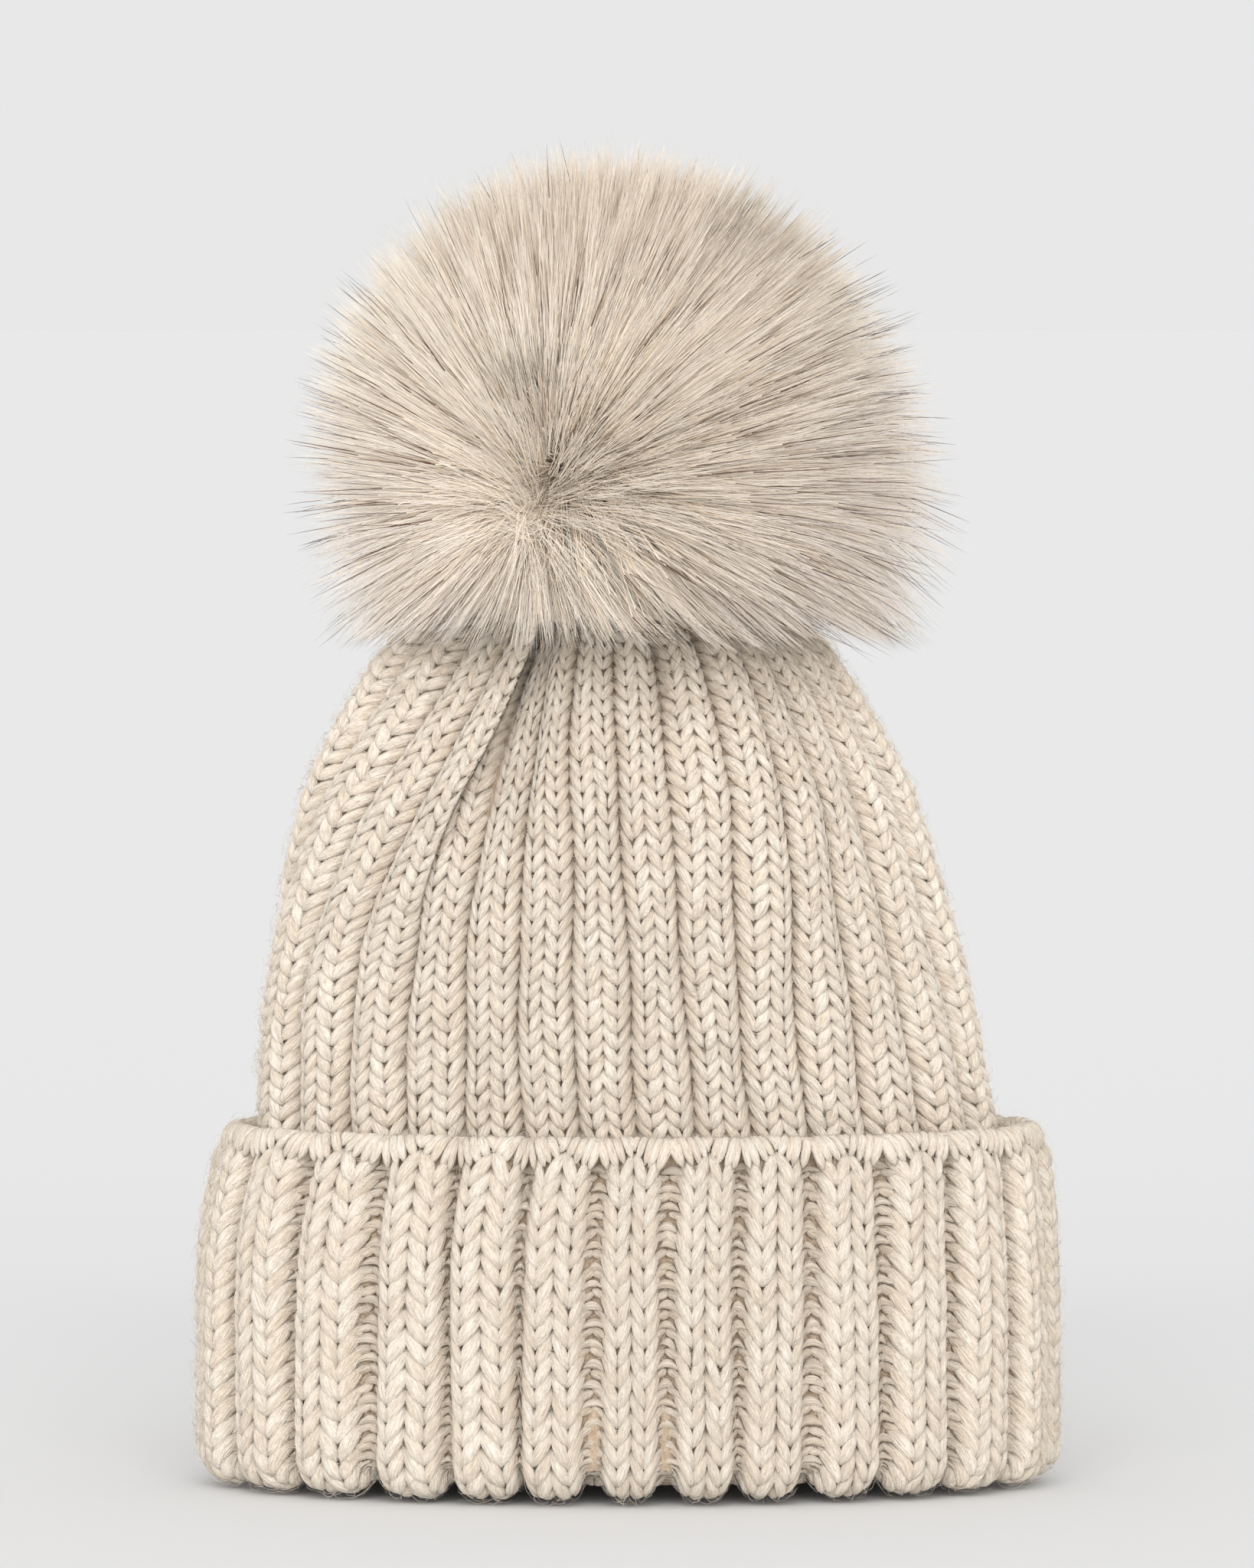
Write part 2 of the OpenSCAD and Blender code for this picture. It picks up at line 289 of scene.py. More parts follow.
# Where the crown's left panel folds under itself, in ribs from the front, and the heights
# between which the gather draws the ribs together.
FOLD = (-3.58, -3.42)
GATHER = (132, 228)


class Crown(KnitWall):
    front_pitch = 14.5
    side = 1

    def slide(self, c, z):
        """The gather pulls the left panel over the ribs beside it, and bends those on the right."""
        gather = smoothstep(*GATHER, z)
        under = smoothstep(*FOLD, c)
        panel = 2.0 * smoothstep(-9.5, -4.2, c) * (1 - under)
        beneath = 0.45 * hump(c, -2.4, 1.3) * under
        right = smoothstep(105, 212, z) * hump(c, 3.4, 1.7) * 0.75
        middle = smoothstep(140, 200, z) * hump(c, -0.9, 0.8) * 0.2
        wander = 0.035 * np.sin(z / 19 + c * 1.7) + 0.025 * np.sin(z / 8.5 - c * 2.9)
        return gather * (panel + beneath) + right - middle + wander * smoothstep(85, 110, z)

    def row_rise(self, c, z):
        """The left panel's rows turn with its leaning ribs: up on its left, down at its fold."""
        t = np.clip((z - GATHER[0]) / (GATHER[1] - GATHER[0]), 0, 1)
        turn = 0.34 * 4 * t * (1 - t)
        panel = smoothstep(-11.5, -8, c) * (1 - smoothstep(*FOLD, c))
        gathered_pitch, reach = 11, 4
        return turn * panel * gathered_pitch * reach * np.tanh((-5.2 - c) / reach)

    def sink(self, c, z):
        deep = smoothstep(140, 185, z) * (1 - smoothstep(224, 236, z))
        under = smoothstep(*FOLD, c)
        beneath = 4.8 * under * (1 - smoothstep(-2.5, -1.0, c))
        raised = 3.4 * smoothstep(-5.2, -3.8, c) * (1 - under)
        other = 3.0 * smoothstep(188, 212, z) * hump(c, 1.5, 0.3)
        third = 2.5 * smoothstep(185, 212, z) * hump(c, 4.5, 0.35)
        return deep * (beneath - raised) + other + third

    def facing_out(self, p, normal):
        """Turn the normals where the fold runs backwards, so that depth still goes inwards."""
        radial = p[..., :2] / (np.linalg.norm(p[..., :2], axis=-1, keepdims=True) + 1e-9)
        inward = np.sum(radial * normal[..., :2], -1) < -0.2
        return np.where(inward[..., None], -normal, normal)

    def lean(self, z):
        return -5.0 * np.clip((z - CUFF_TOP) / 100, 0, 1) ** 0.7


class Cuff(KnitWall):
    front_pitch = 18.4
    side = -1

    def slide(self, c, z):
        rib = np.round(c)
        beyond = np.sign(c - rib)
        blend = smoothstep(0.4, 0.6, np.abs(c - rib))
        shift = self.shift(rib, z) * (1 - blend) + self.shift(rib + beyond, z) * blend
        opening = 0.12 + 0.08 * np.sin(c * 1.9 + 1) - 0.45 * hump(c, -2.5, 1.4)
        return shift + opening * np.sin(TAU * (c - 0.5)) / TAU

    def shift(self, rib, z):
        """How far a rib stands from its even place, in ribs."""
        rib = (rib + self.ribs / 2 - 1) % self.ribs - self.ribs / 2 + 1
        uneven = 0.03 * np.sin(rib * 2.1 + 0.7) + 0.035 * np.tanh(rib * 3 - 1.5)
        return uneven + 0.02 * np.sin(z / 21 + rib * 2.3)

    def ribbing(self, v):
        return smoothstep(11.5, 17.5, v)

    def lean(self, z):
        return 1.5 * smoothstep(60, 90, z)

    def fullness(self, c, v):
        return np.ones_like(v)


CROWN_SHAPE = [
    (0, 1, 1),
    (0.22, 0.96, 1.12),
    (0.42, 0.89, 1.19),
    (0.6, 0.815, 1.15),
    (0.74, 0.705, 1.03),
    (0.84, 0.615, 0.9),
    (0.92, 0.5, 0.74),
    (0.975, 0.36, 0.53),
]


def crown_outline():
    rise = CROWN_TOP - CUFF_TOP
    foot = [(body_low[2] + 1, CROWN_HALF_WIDTH, CROWN_HALF_DEPTH)]
    shape = [
        (CUFF_TOP + s * rise, w * CROWN_HALF_WIDTH, d * CROWN_HALF_DEPTH)
        for s, w, d in CROWN_SHAPE
    ]
    return foot + shape + [(CROWN_TOP - 0.6, 18, 14), (CROWN_TOP, 9.5, 9.5), (CROWN_TOP, 3.5, 3.5)]


def cuff_half_sizes(z):
    draw_in = YARN_PROUD + 5.5 * max(0, 2 * z / CUFF_TOP - 1) ** 2
    return CUFF_HALF_WIDTH - draw_in, CUFF_HALF_DEPTH - draw_in * 0.8


def cuff_outline():
    """Down the outside from the top edge, round the fold and a little way up the inside."""
    top_a, top_b = cuff_half_sizes(CUFF_TOP)
    points = [
        (CUFF_TOP - 9, top_a - 5.4, top_b - 5.4),
        (CUFF_TOP - 2, top_a - 4.6, top_b - 4.6),
        (CUFF_TOP, top_a - 2.4, top_b - 2.4),
        (CUFF_TOP - 2.2, top_a - 0.2, top_b - 0.2),
    ]
    for share in (0.9, 0.8, 0.65, 0.5, 0.3, 0.1):
        z = CUFF_TOP * share
        points.append((z, *cuff_half_sizes(z)))
    a, b = cuff_half_sizes(0)
    points += [
        (6.4, a - 0.8, b - 0.8),
        (3.8, a - 3, b - 3),
        (2.8, a - 6.5, b - 6.2),
        (3.8, a - 10, b - 9.4),
        (8, a - 12.8, b - 11.2),
        (CUFF_TOP * 0.3, a - 13.5, b - 11.8),
    ]
    return points


crown = Crown(
    crown_outline(),
    softness=4.0,
    spread=(1.959, 4.055, 0.132),
    offset=0.3,
    relief=4.6,
    rib_width=0.5,
    rib_power=2.1,
)


def cuff_wall_shape(relief, rib_width, rib_power):
    return Cuff(cuff_outline(), 1.4, (3.948, 1.109, 0.31), -0.05, relief, rib_width, rib_power)


cuff = cuff_wall_shape(6.0, 0.45, 3.8)
# The cuff's own outline with almost no ribs, for the cast-on edge that bridges them.
cuff_edge = cuff_wall_shape(1.2, 0.5, 2.0)


# ---------------------------------------------------------------- yarn

LEG_RINGS, LEG_SIDES = 8, 9
TRIANGLES_PER_LEG = (LEG_RINGS - 1) * LEG_SIDES * 2 + 2 * LEG_SIDES
LEGS_PER_PIECE = 190000 // TRIANGLES_PER_LEG

def lay_legs(wall, c, v, lean, length, width, thickness, low_lift, high_lift, arch=0.0):
    """Points of stitch legs on a wall. Each leg is a tapered tube.

    c and v are a leg's middle. lean is how many ribs it moves across from its start to its end,
    length and thickness are in millimetres and width in ribs. The lifts are its height above
    the wall at its start and its end, and arch is how far both ends lie past its middle.
    """
    rings, sides = LEG_RINGS, LEG_SIDES
    s = np.linspace(-0.97, 0.97, rings)
    plump = (1 - np.abs(s) ** 2.6) ** 0.65
    plump *= 1 + 0.06 * s
    turn = np.arange(sides) / sides * TAU - math.pi / 2
    s_all = np.concatenate([np.repeat(s, sides), [-1, 1]])
    plump_all = np.concatenate([np.repeat(plump, sides), [0, 0]])
    turn_all = np.concatenate([np.tile(turn, rings), [0, 0]])
    s_all, plump_all, turn_all = s_all[None], plump_all[None], turn_all[None]
    c, v, lean, length, width, thickness, low_lift, high_lift, arch = [
        np.broadcast_to(x, c.shape)[:, None]
        for x in (c, v, lean, length, width, thickness, low_lift, high_lift, arch)
    ]
    pitch = wall.pitch(v)
    run = np.hypot(lean * pitch, length)
    across, along = length / run, lean * pitch / run
    out = np.cos(turn_all) * width * plump_all
    place_c = c + lean * s_all / 2 + out * across
    place_v = v + length * s_all / 2 - out * pitch * along + arch * s_all**2
    share = (s_all + 1) / 2
    lift = low_lift + (high_lift - low_lift) * share + 0.5 * (1 - s_all**2) * thickness
    lift = lift + np.sin(turn_all) * thickness * plump_all
    lift = lift * wall.fullness(place_c, place_v)
    points = wall.point(place_c, place_v, lift)
    seed = random.uniform(0, 60, c.shape)
    yarn = np.stack(
        np.broadcast_arrays(turn_all * width * pitch * 1.1, length * share, seed), -1
    )
    return points, yarn


def build_legs(name, points, yarn, body, materials):
    """The legs in pieces small enough to keep every face, each leg in one tint of the yarn."""
    count = math.ceil(len(points) / LEGS_PER_PIECE)
    pieces = []
    for k, part in enumerate(np.array_split(np.arange(len(points)), count)):
        tint = random.integers(0, len(materials), len(part))[:, None]
        piece = build_tubes(
            f"{name}_{k + 1}",
            points[part],
            LEG_RINGS,
            LEG_SIDES,
            body,
            materials,
            np.repeat(tint, LEG_RINGS - 1, axis=1),
            yarn[part],
        )
        pieces.append(piece)
    return pieces


def wale_legs(wall, first_v, last_v, row, up, inner, outer, lean, overlap, leg_width, leg_thick):
    """All four legs of every rib in every row.

    up is 1 where the stitches stand on their points and -1 where they hang from them. inner and
    outer are the legs' places from the rib's middle, and overlap is a leg's length in rows.
    """
    rib_number = np.arange(wall.ribs) - wall.ribs // 2 + 1
    rows = np.arange(first_v, last_v, row)
    rib, v = [x.ravel() for x in np.meshgrid(rib_number, rows, indexing="ij")]
    points, yarns = [], []
    for side in (-1, 1):
        for place, slope, size in ((inner, -side, 1.0), (outer, side, 0.92)):
            n = len(rib)
            shift = random.normal(0, 0.006, n)
            height = random.normal(0, 0.14, n)
            turn = slope * lean * (1 + random.normal(0, 0.12, n))
            length = row * overlap * (1 + random.normal(0, 0.04, n))
            width = leg_width * size * (1 + random.normal(0, 0.06, n))
            thick = leg_thick * (1 + random.normal(0, 0.05, n))
            lift = random.normal(0, 0.12, n)
            p, y = lay_legs(
                wall,
                rib + side * place + shift,
                v + height,
                turn * up,
                length,
                width,
                thick,
                (0.6 if up > 0 else -1.1) + lift,
                (-1.3 if up > 0 else 0.5) + lift,
            )
            points.append(p)
            yarns.append(y)
    return np.concatenate(points), np.concatenate(yarns)


def principled(name, colour, roughness, sheen=0.0, sheen_roughness=0.5, specular=0.5):
    material = bpy.data.materials.new(name)
    material.use_nodes = True
    shader = material.node_tree.nodes["Principled BSDF"]
    shader.inputs["Base Color"].default_value = (*colour, 1)
    shader.inputs["Roughness"].default_value = roughness
    shader.inputs["Sheen Weight"].default_value = sheen
    shader.inputs["Sheen Roughness"].default_value = sheen_roughness
    shader.inputs["Specular IOR Level"].default_value = specular
    return material, shader


def srgb(code):
    """Linear colour of a #RRGGBB code."""
    values = [int(code[k : k + 2], 16) / 255 for k in (1, 3, 5)]
    return tuple(((v + 0.055) / 1.055) ** 2.4 if v > 0.04045 else v / 12.92 for v in values)


def add_node(material, kind, **values):
    node = material.node_tree.nodes.new(kind)
    for name, value in values.items():
        if hasattr(node, name) and name not in node.inputs:
            setattr(node, name, value)
        else:
            node.inputs[name.replace("_", " ")].default_value = value
    return node


def link(material, start, end):
    material.node_tree.links.new(start, end)


# How much of the yarn's red, green and blue is left between its fibres: painted shade in the gaps
# between fibres.
FIBRE_GAP_PAINTED_SHADE = (0.76, 0.71, 0.65)


def yarn_material(name, colour):
    """Soft wool-blend yarn: fibres run along each leg with a slight twist, under a fine fuzz. Its
    colour darkens between the fibres, which is painted shade.
    """
    material, shader = principled(name, srgb(colour), 0.9, 0.25, 0.6, 0.25)
    place = add_node(material, "ShaderNodeAttribute", attribute_name="yarn")
    stretch = add_node(material, "ShaderNodeMapping")
    stretch.inputs["Scale"].default_value = (1.0, 0.16, 1.0)
    stretch.inputs["Rotation"].default_value = (0, 0, 0.18)
    link(material, place.outputs["Vector"], stretch.inputs["Vector"])
    fibres = add_node(material, "ShaderNodeTexNoise", Scale=2.1, Detail=3.0, Roughness=0.65)
    link(material, stretch.outputs["Vector"], fibres.inputs["Vector"])
    fuzz = add_node(material, "ShaderNodeTexNoise", Scale=2600.0, Detail=2.0)
    spot = add_node(material, "ShaderNodeTexCoord")
    link(material, spot.outputs["Object"], fuzz.inputs["Vector"])
    # The streaks follow the yarn's fibres; the ramp's dark end is painted shade between them.
    fibre_streaks_and_painted_shade = add_node(material, "ShaderNodeValToRGB")
    fibre_streaks_and_painted_shade.color_ramp.elements[0].position = 0.34
    dark = [value * share for value, share in zip(srgb(colour), FIBRE_GAP_PAINTED_SHADE)]
    fibre_streaks_and_painted_shade.color_ramp.elements[0].color = (*dark, 1)
    fibre_streaks_and_painted_shade.color_ramp.elements[1].position = 0.58
    fibre_streaks_and_painted_shade.color_ramp.elements[1].color = (*srgb(colour), 1)
    link(material, fibres.outputs["Fac"], fibre_streaks_and_painted_shade.inputs["Fac"])
    link(material, fibre_streaks_and_painted_shade.outputs["Color"], shader.inputs["Base Color"])
    both = add_node(material, "ShaderNodeMath", operation="MULTIPLY_ADD")
    both.inputs[1].default_value = 0.22
    link(material, fuzz.outputs["Fac"], both.inputs[0])
    link(material, fibres.outputs["Fac"], both.inputs[2])
    bump = add_node(material, "ShaderNodeBump", Strength=0.9)
    bump.inputs["Distance"].default_value = 0.0012
    link(material, both.outputs[0], bump.inputs["Height"])
    link(material, bump.outputs["Normal"], shader.inputs["Normal"])
    rough = add_node(material, "ShaderNodeMapRange")
    rough.inputs["To Min"].default_value = 0.75
    rough.inputs["To Max"].default_value = 1.0
    link(material, fibres.outputs["Fac"], rough.inputs["Value"])
    link(material, rough.outputs["Result"], shader.inputs["Roughness"])
    return material


yarn_tints = [
    yarn_material("yarn_light", "#EFE4D5"),
    yarn_material("yarn_mid", "#ECE0D0"),
    yarn_material("yarn_warm", "#EBDECD"),
    yarn_material("yarn_pale", "#F1E7D9"),
]
# Slightly darker copies of the yarn for the purl bumps down in the cuff's valleys: painted shade.
yarn_painted_shade = [
    yarn_material("yarn_painted_shade", "#EADECE"),
    yarn_material("yarn_shaded_warm", "#E6D9C7"),
]
# A darker copy of the yarn for the wall behind the stitches, seen only in the gaps between them and
# down the valleys: painted shade.
yarn_deep_painted_shade = yarn_material("yarn_deep_painted_shade", "#CBB59C")

CROWN_ROW = 4.08
CUFF_ROW = 4.95


def crown_knit():
    points, yarn = wale_legs(
        crown,
        2.5,
        crown.length - 6,
        CROWN_ROW,
        up=1,
        inner=0.12,
        outer=0.37,
        lean=0.235,
        overlap=1.82,
        leg_width=0.105,
        leg_thick=1.35,
    )
    return build_legs("crown_stitches", points, yarn, "hat", yarn_tints)


def cuff_knit():
    points, yarn = wale_legs(
        cuff,
        18.5,
        cuff.length - 14,
        CUFF_ROW,
        up=-1,
        inner=0.105,
        outer=0.315,
        lean=0.21,
        overlap=1.98,
        leg_width=0.09,
        leg_thick=1.55,
    )
    return build_legs("cuff_stitches", points, yarn, "cuff", yarn_tints)


# The strands of one purl row: place across the valley, place along it, reach across in ribs,
# reach along in millimetres, arch, thickness in ribs and lift.
PURL_STRANDS = [
    (0.0, 0.0, 0.24, 0.05, 1.5, 0.055, 0.2),
    (-0.055, 2.5, -0.13, 2.3, 0.0, 0.052, -0.1),
    (0.055, 2.5, 0.13, 2.3, 0.0, 0.052, -0.1),
]


def purl_bumps():
    """Each row of a cuff valley has an arched strand and two short slanting ones under it."""
    valley = np.arange(cuff.ribs) - cuff.ribs / 2 + 0.5
    rows = np.arange(17.5, cuff.length - 14, CUFF_ROW)
    c, v = [x.ravel() for x in np.meshgrid(valley, rows, indexing="ij")]
    n = len(c)
    points, yarns = [], []
    for across, along, lean, length, arch, width, lift in PURL_STRANDS:
        p, y = lay_legs(
            cuff,
            c + across + random.normal(0, 0.014, n),
            v + along + random.normal(0, 0.3, n),
            lean * (1 + random.normal(0, 0.15, n)),
            length + random.normal(0, 0.5, n),
            width * (1 + random.normal(0, 0.12, n)),
            0.85,
            lift,
            lift,
            arch,
        )
        points.append(p)
        yarns.append(y)
    # The bumps take the darker copies of the yarn: painted shade in the valleys.
    return build_legs(
        "cuff_valley_bumps", np.concatenate(points), np.concatenate(yarns), "cuff", yarn_painted_shade
    )


# The legs of one side of a rib that fan out into the cast-on edge: place and spread in ribs,
# place down the outline, length and lift.
FAN_LEGS = [
    (0.44, 0.13, 14.0, 8.8, 0.2),
    (0.345, 0.19, 13.4, 9.2, 0.45),
    (0.245, 0.2, 13.0, 8.8, 0.5),
    (0.14, 0.2, 12.3, 7.4, 0.45),
    (0.04, 0.14, 11.3, 5.0, 0.3),
]
EDGE_LEVELS = (6.4, 8.0, 9.4, 10.6)


def cast_on_edge():
    """The top edge of the cuff: legs that fan from each rib, under strands laid along the edge."""
    rib = np.arange(cuff.ribs) - cuff.ribs // 2 + 1.0
    n = len(rib)
    pieces, yarns = [], []
    for side in (-1, 1):
        for place, spread, level, length, lift in FAN_LEGS:
            p, y = lay_legs(
                cuff_edge,
                rib + side * place + random.normal(0, 0.01, n),
                level + random.normal(0, 0.2, n),
                -side * spread * (1 + random.normal(0, 0.1, n)),
                length * (1 + random.normal(0, 0.05, n)),
                0.064,
                1.0,
                lift - 0.2,
                lift,
            )
            pieces.append(p)
            yarns.append(y)
    per_rib = 4
    c = (np.arange(cuff.ribs * per_rib) + 0.5) / per_rib - cuff.ribs / 2 + 0.5
    for k, level in enumerate(EDGE_LEVELS):
        n = len(c)
        p, y = lay_legs(
            cuff_edge,
            c + k / 2 / per_rib + random.normal(0, 0.02, n),
            level + random.normal(0, 0.15, n),
            0.42 + random.normal(0, 0.04, n),
            random.normal(0, 0.5, n) + 0.6,
            0.07,
            1.0,
            -0.5,
            -0.6,
        )
        pieces.append(p)
        yarns.append(y)
    points, yarn = np.concatenate(pieces), np.concatenate(yarns)
    return build_legs("cuff_cast_on_edge", points, yarn, "cuff", yarn_tints)


def closed_wall(wall, name, body, v, depth, inner, replaced):
    """The knit's own thickness behind the yarn: a closed wall from its outline to inner, coloured
    darker than the yarn as painted shade in the gaps between stitches.
    """
    across = 12
    c = np.arange(wall.ribs * across) / across - wall.ribs / 2 + 0.5
    cc, vv = np.meshgrid(c, v)
    outside = wall.point(cc, vv, np.full(cc.shape, -depth))
    t = np.interp(c, wall.c_table, wall.t_table)
    rings = [outside.reshape(-1, 3)]
    for z, a, b in inner:
        x = a * np.sin(t) + wall.lean(np.array(z, float))
        rings.append(np.stack([x, -b * np.cos(t), np.full(t.shape, z)], -1))
    points = np.concatenate(rings)
    rows = len(points) // len(c)
    faces = grid_faces(rows, len(c), closed_rows=True)
    if wall.side < 0:
        faces = faces[:, ::-1]
    piece = mesh_piece(name, points, [faces], body, [yarn_deep_painted_shade])
    yarn = np.stack(
        np.broadcast_arrays(
            np.tile(c * 14, rows), np.repeat(np.arange(rows) * 3.0, len(c)), 0.0
        ),
        -1,
    )
    set_vector_attribute(piece, "yarn", yarn)
    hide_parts(replaced)
    return piece


def crown_wall():
    outline = np.array(crown_outline())
    inner = []
    for z, a, b in outline[::-1]:
        slope = 5 * max(0, (z - CUFF_TOP) / (CROWN_TOP - CUFF_TOP)) ** 2
        if a < 20:
            inner.append((z - 6, max(a, 3.2), max(b, 3.2)))
        else:
            inner.append((z - slope, a - 7 - slope / 2, b - 7 - slope / 2))
    samples = np.linspace(0, crown.length, 90)
    return closed_wall(crown, "crown_knit_wall", "hat", samples, 0.95, inner, "body_knit")


def cuff_wall():
    bore_a, bore_b = CROWN_HALF_WIDTH + 0.7, CROWN_HALF_DEPTH + 0.7
    inner = [
        (CUFF_TOP * 0.5, bore_a, bore_b),
        (CUFF_TOP * 0.85, bore_a, bore_b),
        (CUFF_TOP - 11, bore_a + 0.6, bore_b + 0.6),
    ]
    samples = np.linspace(0.5, cuff.length - 6, 80)
    return closed_wall(cuff, "cuff_knit_wall", "cuff", samples, 1.0, inner, "cuff_knit")


def fuzz(wall, name, body, first_v, last_v, count):
    """Stray fibres that lift a little off the yarn."""
    c = random.uniform(-wall.ribs / 2 + 0.5, wall.ribs / 2 + 0.5, count)
    v = random.uniform(first_v, last_v, count)
    length = random.uniform(1.5, 6.5, count)[:, None]
    heading = random.uniform(0, TAU, count)[:, None]
    rise = random.uniform(0.2, 1.9, count)[:, None]
    curl = random.normal(0, 0.8, count)[:, None]
    s = np.linspace(0, 1, 4)[None]
    angle = heading + curl * s
    cs = c[:, None] + np.cos(angle) * length * s / wall.pitch(v)[:, None]
    vs = v[:, None] + np.sin(angle) * length * s
    line = wall.point(cs, vs, 1.8 + rise * np.sin(s * 2.2))
    return build_hairs(name, line, 0.052, 3, body, [yarn_tints[3]])


def build_hairs(name, line, radius, sides, body, materials, shade=None, taper=None):
    """Thin closed tubes round many lines at once. line is (hairs, rings, 3)."""
    rings = line.shape[1]
    along = np.gradient(line, axis=1)
    along /= np.linalg.norm(along, axis=-1, keepdims=True) + 1e-9
    helper = np.where(np.abs(along[..., 2:3]) < 0.8, [[[0.0, 0, 1]]], [[[1.0, 0, 0]]])
    across = np.cross(along, helper)
    across /= np.linalg.norm(across, axis=-1, keepdims=True) + 1e-9
    other = np.cross(along, across)
    turn = np.arange(sides) / sides * TAU
    if taper is None:
        taper = np.linspace(1, 0.35, rings)
    size = np.broadcast_to(np.asarray(radius, float).reshape(-1, 1), (len(line), 1)) * taper
    ring = (
        across[:, :, None] * np.cos(turn)[None, None, :, None]
        - other[:, :, None] * np.sin(turn)[None, None, :, None]
    )
    points = line[:, :, None] + ring * size[:, :, None, None]
    points = points.reshape(len(line), rings * sides, 3)
    step = (line[:, -1] - line[:, -2]) * 0.35
    first = line[:, :1] - along[:, :1] * size[:, :1, None]
    last = line[:, -1:] + step[:, None]
    points = np.concatenate([points, first, last], 1)
    return build_tubes(name, points, rings, sides, body, materials, shade)


# ---------------------------------------------------------------- fur


CORE_CENTRE = (core_low + core_high) / 2
ROOT_RADIUS = (core_high[2] - core_low[2]) / 2 + 3.4
FUR_RADIUS = fur_high[0]
FUR_TOP = fur_high[2]
WIDEST = 250.0
# The lowest height of the fur near the axis, which leaves room for the ball to nod on its base.
BASE_CLEARANCE = max(node_size(n)[1][2] for n in ("pom_base_disc", "pom_base_stitches")) + 4.0
WHORL = np.array([-0.333, -0.875, -0.353])


def unit(v):
    return v / (np.linalg.norm(v, axis=-1, keepdims=True) + 1e-9)


def outline_reach(direction):
    """Distance from the core's centre to the fur's outer shape along each direction."""
    reach = np.full(len(direction), 60.0)
    for _ in range(14):
        p = CORE_CENTRE + direction * reach[:, None]
        r = np.hypot(p[:, 0], p[:, 1])
        z = p[:, 2] - WIDEST
        tall = np.where(z > 0, FUR_TOP - WIDEST, 50.0)
        level = ((r / FUR_RADIUS) ** 2.1 + (np.abs(z) / tall) ** 2.1) ** (1 / 2.1)
        reach = reach / np.maximum(level, 0.2) ** 0.8
    return reach


def fibonacci_sphere(count):
    k = np.arange(count) + 0.5
    z = 1 - 2 * k / count
    around = k * math.pi * (3 - math.sqrt(5))
    r = np.sqrt(1 - z * z)
    return np.stack([r * np.cos(around), r * np.sin(around), z], -1)


def fur_lines(count, clumps, rings, inner_share, full_share, comb, clumping):
    """Centrelines of strands: from the backing outwards, combed away from the whorl in locks.

    inner_share and full_share are the shortest and longest strands as shares of the fur's outline,
    comb is how far roots lie towards the whorl, and clumping how far tips draw into their lock.
    """
    stray = random.normal(0, 1, (count, 3))
    tip_dir = unit(fibonacci_sphere(count) + stray * 0.02)
    clump_dir = unit(fibonacci_sphere(clumps) + random.normal(0, 0.02, (clumps, 3)))
    owner = np.empty(count, int)
    for part in np.array_split(np.arange(count), 1 + count // 4000):
        owner[part] = np.argmax(tip_dir[part] @ clump_dir.T, axis=1)
    clump_size = random.uniform(0.94, 1.045, clumps)
    clump_turn = random.normal(0, 1, (clumps, 3)) * 0.07
    gathered = unit(clump_dir[owner] + clump_turn[owner])
    pull = clumping * random.uniform(0.5, 1.1, count)[:, None]
    end_dir = unit(tip_dir * (1 - pull) + gathered * pull)
    near_whorl = end_dir @ WHORL
    away = unit(end_dir - WHORL * near_whorl[:, None])
    angle = np.arccos(np.clip(near_whorl, -1, 1))
    swept = comb * np.sin(np.clip(angle, 0, math.pi)) ** 0.6 * np.exp(-angle / 2.6)
    root_angle = np.maximum(angle - swept, angle * 0.35)
    root_dir = unit(WHORL * np.cos(root_angle)[:, None] + away * np.sin(root_angle)[:, None])
    root_dir = unit(root_dir + random.normal(0, 0.05, (count, 3)))
    share = inner_share + (full_share - inner_share) * random.beta(2.6, 1.25, count)
    reach = outline_reach(end_dir) * share * clump_size[owner]
    root = CORE_CENTRE + root_dir * ROOT_RADIUS
    tip = CORE_CENTRE + end_dir * reach[:, None]
    run = np.linalg.norm(tip - root, axis=1)[:, None]
    flow = unit(away - end_dir * np.sum(away * end_dir, -1, keepdims=True))
    flat = (0.2 + 0.75 * np.exp(-((angle / 1.25) ** 2)))[:, None]
    arrive = unit(end_dir * (1 - 0.6 * flat) + flow * flat)
    second = root + unit(root_dir + away * 0.15) * run * 0.42
    third = tip - arrive * run * 0.36 + random.normal(0, 1.0, (count, 3))
    s = np.linspace(0, 1, rings)[None, :, None]
    line = (
        root[:, None] * (1 - s) ** 3
        + second[:, None] * 3 * s * (1 - s) ** 2
        + third[:, None] * 3 * s**2 * (1 - s)
        + tip[:, None] * s**3
    )
    line = droop(line)
    return line, end_dir, angle


def fur_lean(p):
    """The upper fur sits a little to the left."""
    p[..., 0] -= 3.6 * smoothstep(240, 285, p[..., 2])
    return p


def droop(line):
    """The lowest fur hangs a little beyond the dome's edge, and none of it enters the crown."""
    p = line.copy()
    r = np.hypot(p[..., 0], p[..., 1])
    low = smoothstep(250, 225, p[..., 2]) * smoothstep(48, 72, r)
    p[..., 2] -= 10 * low
    floor = CROWN_TOP + 3.5 - 22 * smoothstep(24, 70, r)
    floor += (BASE_CLEARANCE - CROWN_TOP - 3.5) * (1 - smoothstep(21, 32, r))
    p[..., 2] = np.maximum(p[..., 2], floor + random.uniform(0, 1.2, r.shape[:1])[:, None])
    return fur_lean(p)


